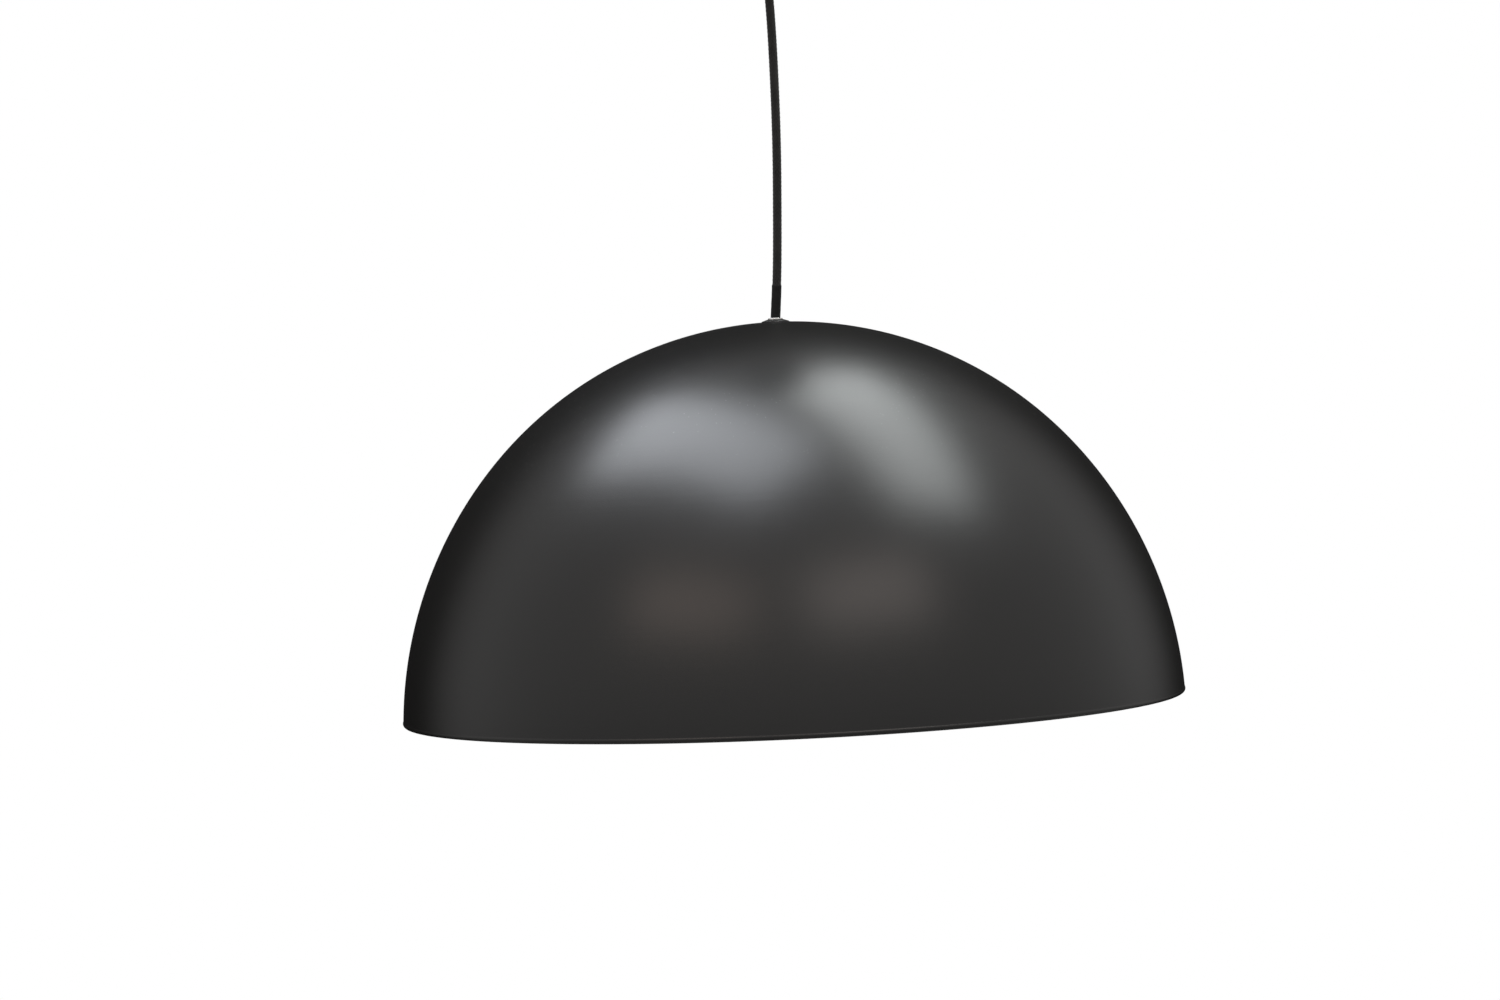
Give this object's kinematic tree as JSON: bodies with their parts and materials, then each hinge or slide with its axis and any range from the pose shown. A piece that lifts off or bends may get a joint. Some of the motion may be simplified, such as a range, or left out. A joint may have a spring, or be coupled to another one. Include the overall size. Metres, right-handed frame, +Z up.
{
  "type": "pendant ceiling light",
  "caption": "Dome pendant light: spun metal shade on a textile cord, with ceiling canopy, lampholder and filament lamp.",
  "frame": {"origin": "on the ceiling plane, midway between the bracket's two slots", "axes": "+Z up, out of the ceiling; +X along the bracket, through its two slots; the light hangs along -Z"},
  "size_m": [0.5, 0.5, 0.545],
  "materials": {
    "black_metal": "satin powder coat",
    "white_enamel": "matt",
    "zinc": "zinc plated",
    "nickel": "bright",
    "brass": "plain",
    "textile": "braided sheath",
    "shrink": "smooth",
    "brown_wire": "smooth",
    "blue_wire": "smooth",
    "black_plastic": "matt",
    "white_plastic": "matt",
    "fibre": "matt",
    "steatite": "matt ceramic",
    "glass": "clear",
    "black_glass": "opaque",
    "filament": "phosphor coated"
  },
  "bodies": {
    "ceiling_plate": {"mounting_bracket": "zinc"},
    "canopy": {"canopy_cup": "black_metal", "canopy_screws": "zinc", "canopy_nuts": "zinc", "cord_grip": "black_plastic", "cord_grip_locknut": "zinc", "cord_grip_screw": "zinc", "terminal_block": "white_plastic", "terminal_sleeves": "brass", "terminal_screws": "zinc", "cord_tail": "textile", "canopy_lead_brown": "brown_wire", "canopy_lead_blue": "blue_wire"},
    "cord_twist_link": {"cord_root": "textile"},
    "cord_swing_link": {"cord_bend_upper": "textile"},
    "hanging_cord": {"cord": "textile", "shrink_sleeve": "shrink"},
    "cord_tilt_link": {"cord_bend_lower": "textile"},
    "shade_assembly": {"shade": "black_metal", "collar": "black_metal", "collar_ring": "nickel", "seat_washer": "fibre", "lock_washer": "zinc", "stem_nut": "zinc", "cord_end": "textile", "lampholder_cap": "black_plastic", "locking_screw": "zinc", "lampholder_sleeve": "black_plastic", "lampholder_insert": "steatite", "holder_terminal_screws": "zinc", "holder_terminal_plates": "brass", "centre_contact": "brass", "side_contact": "brass", "screw_shell": "nickel", "cord_clamp": "zinc", "cord_clamp_screws": "zinc", "holder_lead_brown": "brown_wire", "holder_lead_blue": "blue_wire"},
    "lamp_foot": {"lamp_tip": "nickel"},
    "lamp": {"lamp_cap": "nickel", "lamp_insulator": "black_glass", "lamp_glass": "glass", "lamp_stem": "glass", "lamp_filaments": "filament", "lamp_support_wires": "nickel"}
  },
  "joints": [
    {"name": "canopy_lower", "type": "slide", "parent": "ceiling_plate", "child": "canopy", "axis": [0, 0, -1], "range_m": [0, 0.04]},
    {"name": "cord_twist", "type": "hinge", "parent": "canopy", "child": "cord_twist_link", "pos_m": [0, 0, -0.035], "axis": [0, 0, 1], "range_deg": [-180, 180]},
    {"name": "swing_fore_aft", "type": "hinge", "parent": "cord_twist_link", "child": "cord_swing_link", "pos_m": [0, 0, -0.035], "axis": [1, 0, 0], "range_deg": [-25, 25]},
    {"name": "swing_side", "type": "hinge", "parent": "cord_swing_link", "child": "hanging_cord", "pos_m": [0, 0, -0.035], "axis": [0, 1, 0], "range_deg": [-25, 25]},
    {"name": "tilt_fore_aft", "type": "hinge", "parent": "hanging_cord", "child": "cord_tilt_link", "pos_m": [0, 0, -0.297], "axis": [1, 0, 0], "range_deg": [-8, 8]},
    {"name": "tilt_side", "type": "hinge", "parent": "cord_tilt_link", "child": "shade_assembly", "pos_m": [0, 0, -0.297], "axis": [0, 1, 0], "range_deg": [-8, 8]},
    {"name": "lamp_lead", "type": "slide", "parent": "shade_assembly", "child": "lamp_foot", "axis": [0, 0, -1], "range_m": [0, 0.01363]},
    {"name": "lamp_turn", "type": "hinge", "parent": "lamp_foot", "child": "lamp", "pos_m": [0, 0, -0.3484], "axis": [0, 0, -1], "range_deg": [0, 1350]}
  ],
  "couplings": [
    {"joint": "lamp_lead", "follows": "lamp_turn", "m_per_rad": 0.00057757}
  ]
}
